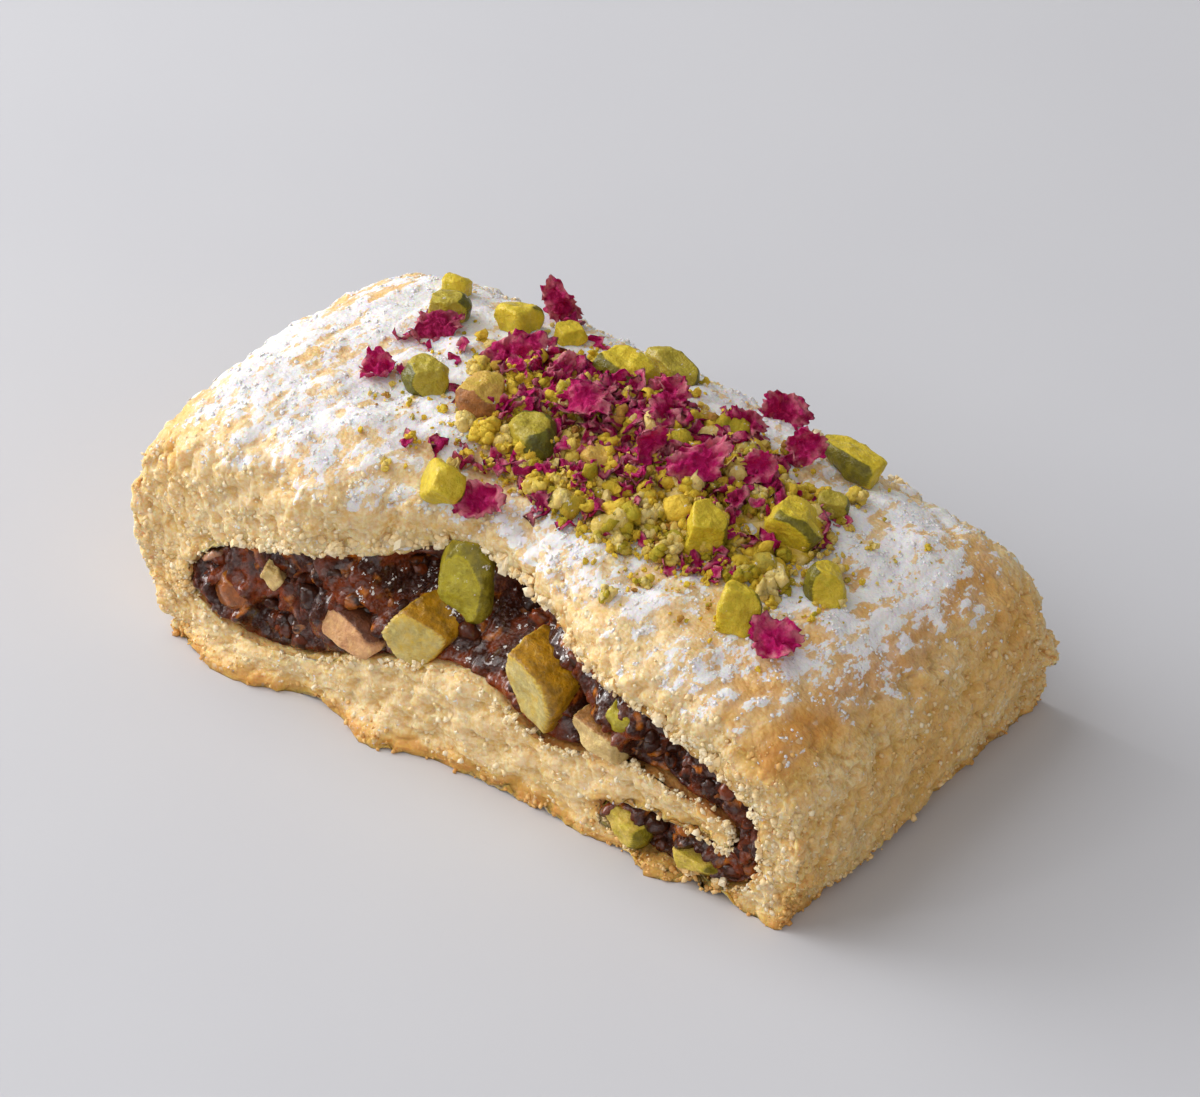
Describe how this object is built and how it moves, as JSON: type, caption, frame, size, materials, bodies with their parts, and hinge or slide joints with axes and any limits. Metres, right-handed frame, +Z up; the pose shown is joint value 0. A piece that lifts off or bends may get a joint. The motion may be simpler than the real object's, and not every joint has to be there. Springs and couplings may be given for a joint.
{
  "type": "filled shortbread bar",
  "caption": "Shortbread bar folded round a dark nut paste that shows at both cut sides, topped with chopped pistachio, rose petals and powdered sugar.",
  "frame": {"origin": "middle of the base of the whole bar's box", "axes": "+X along the bar to its folded end, +Y from the open cut side to the far cut side, +Z up"},
  "size_m": [0.0806, 0.0454, 0.0306],
  "materials": {
    "baked_dough": null,
    "dark_nut_paste": "sticky dark nut paste with amber bits, glossy",
    "pistachio": "chopped pistachio, yellow-green cut faces and darker skin",
    "pistachio_crumb": "heap of fine pistachio crumbs with rose bits",
    "hazelnut": "cut hazelnut, cream inside and golden-brown outside",
    "almond": "pinkish-beige cut almond",
    "amber_nut": "syrup-coated nut, translucent amber",
    "rose_petal": "dried crinkled rose petal",
    "powdered_sugar": "fine white sugar, dusted and clumped"
  },
  "bodies": {
    "root": {"almond_slab": "almond", "amber_nut": "amber_nut", "hazelnut_cube": "hazelnut", "hazelnut_wedge": "hazelnut", "lower_pistachio_left": "pistachio", "lower_pistachio_right": "pistachio", "nut_paste": "dark_nut_paste", "open_pistachio": "pistachio", "pale_nut_bit": "hazelnut", "pale_nut_piece": "hazelnut", "pistachio_01": "pistachio", "pistachio_02": "pistachio", "pistachio_03": "pistachio", "pistachio_04": "pistachio", "pistachio_05": "pistachio", "pistachio_06": "pistachio", "pistachio_07": "pistachio", "pistachio_08": "pistachio", "pistachio_09": "pistachio", "pistachio_10": "pistachio", "pistachio_11": "pistachio", "pistachio_12": "pistachio", "pistachio_13": "pistachio", "pistachio_14": "pistachio", "pistachio_15": "pistachio", "pistachio_16": "pistachio", "pistachio_17": "pistachio", "pistachio_crumbs": "pistachio_crumb", "pistachio_end": "pistachio", "shortbread_dough": "baked_dough"}
  },
  "joints": []
}
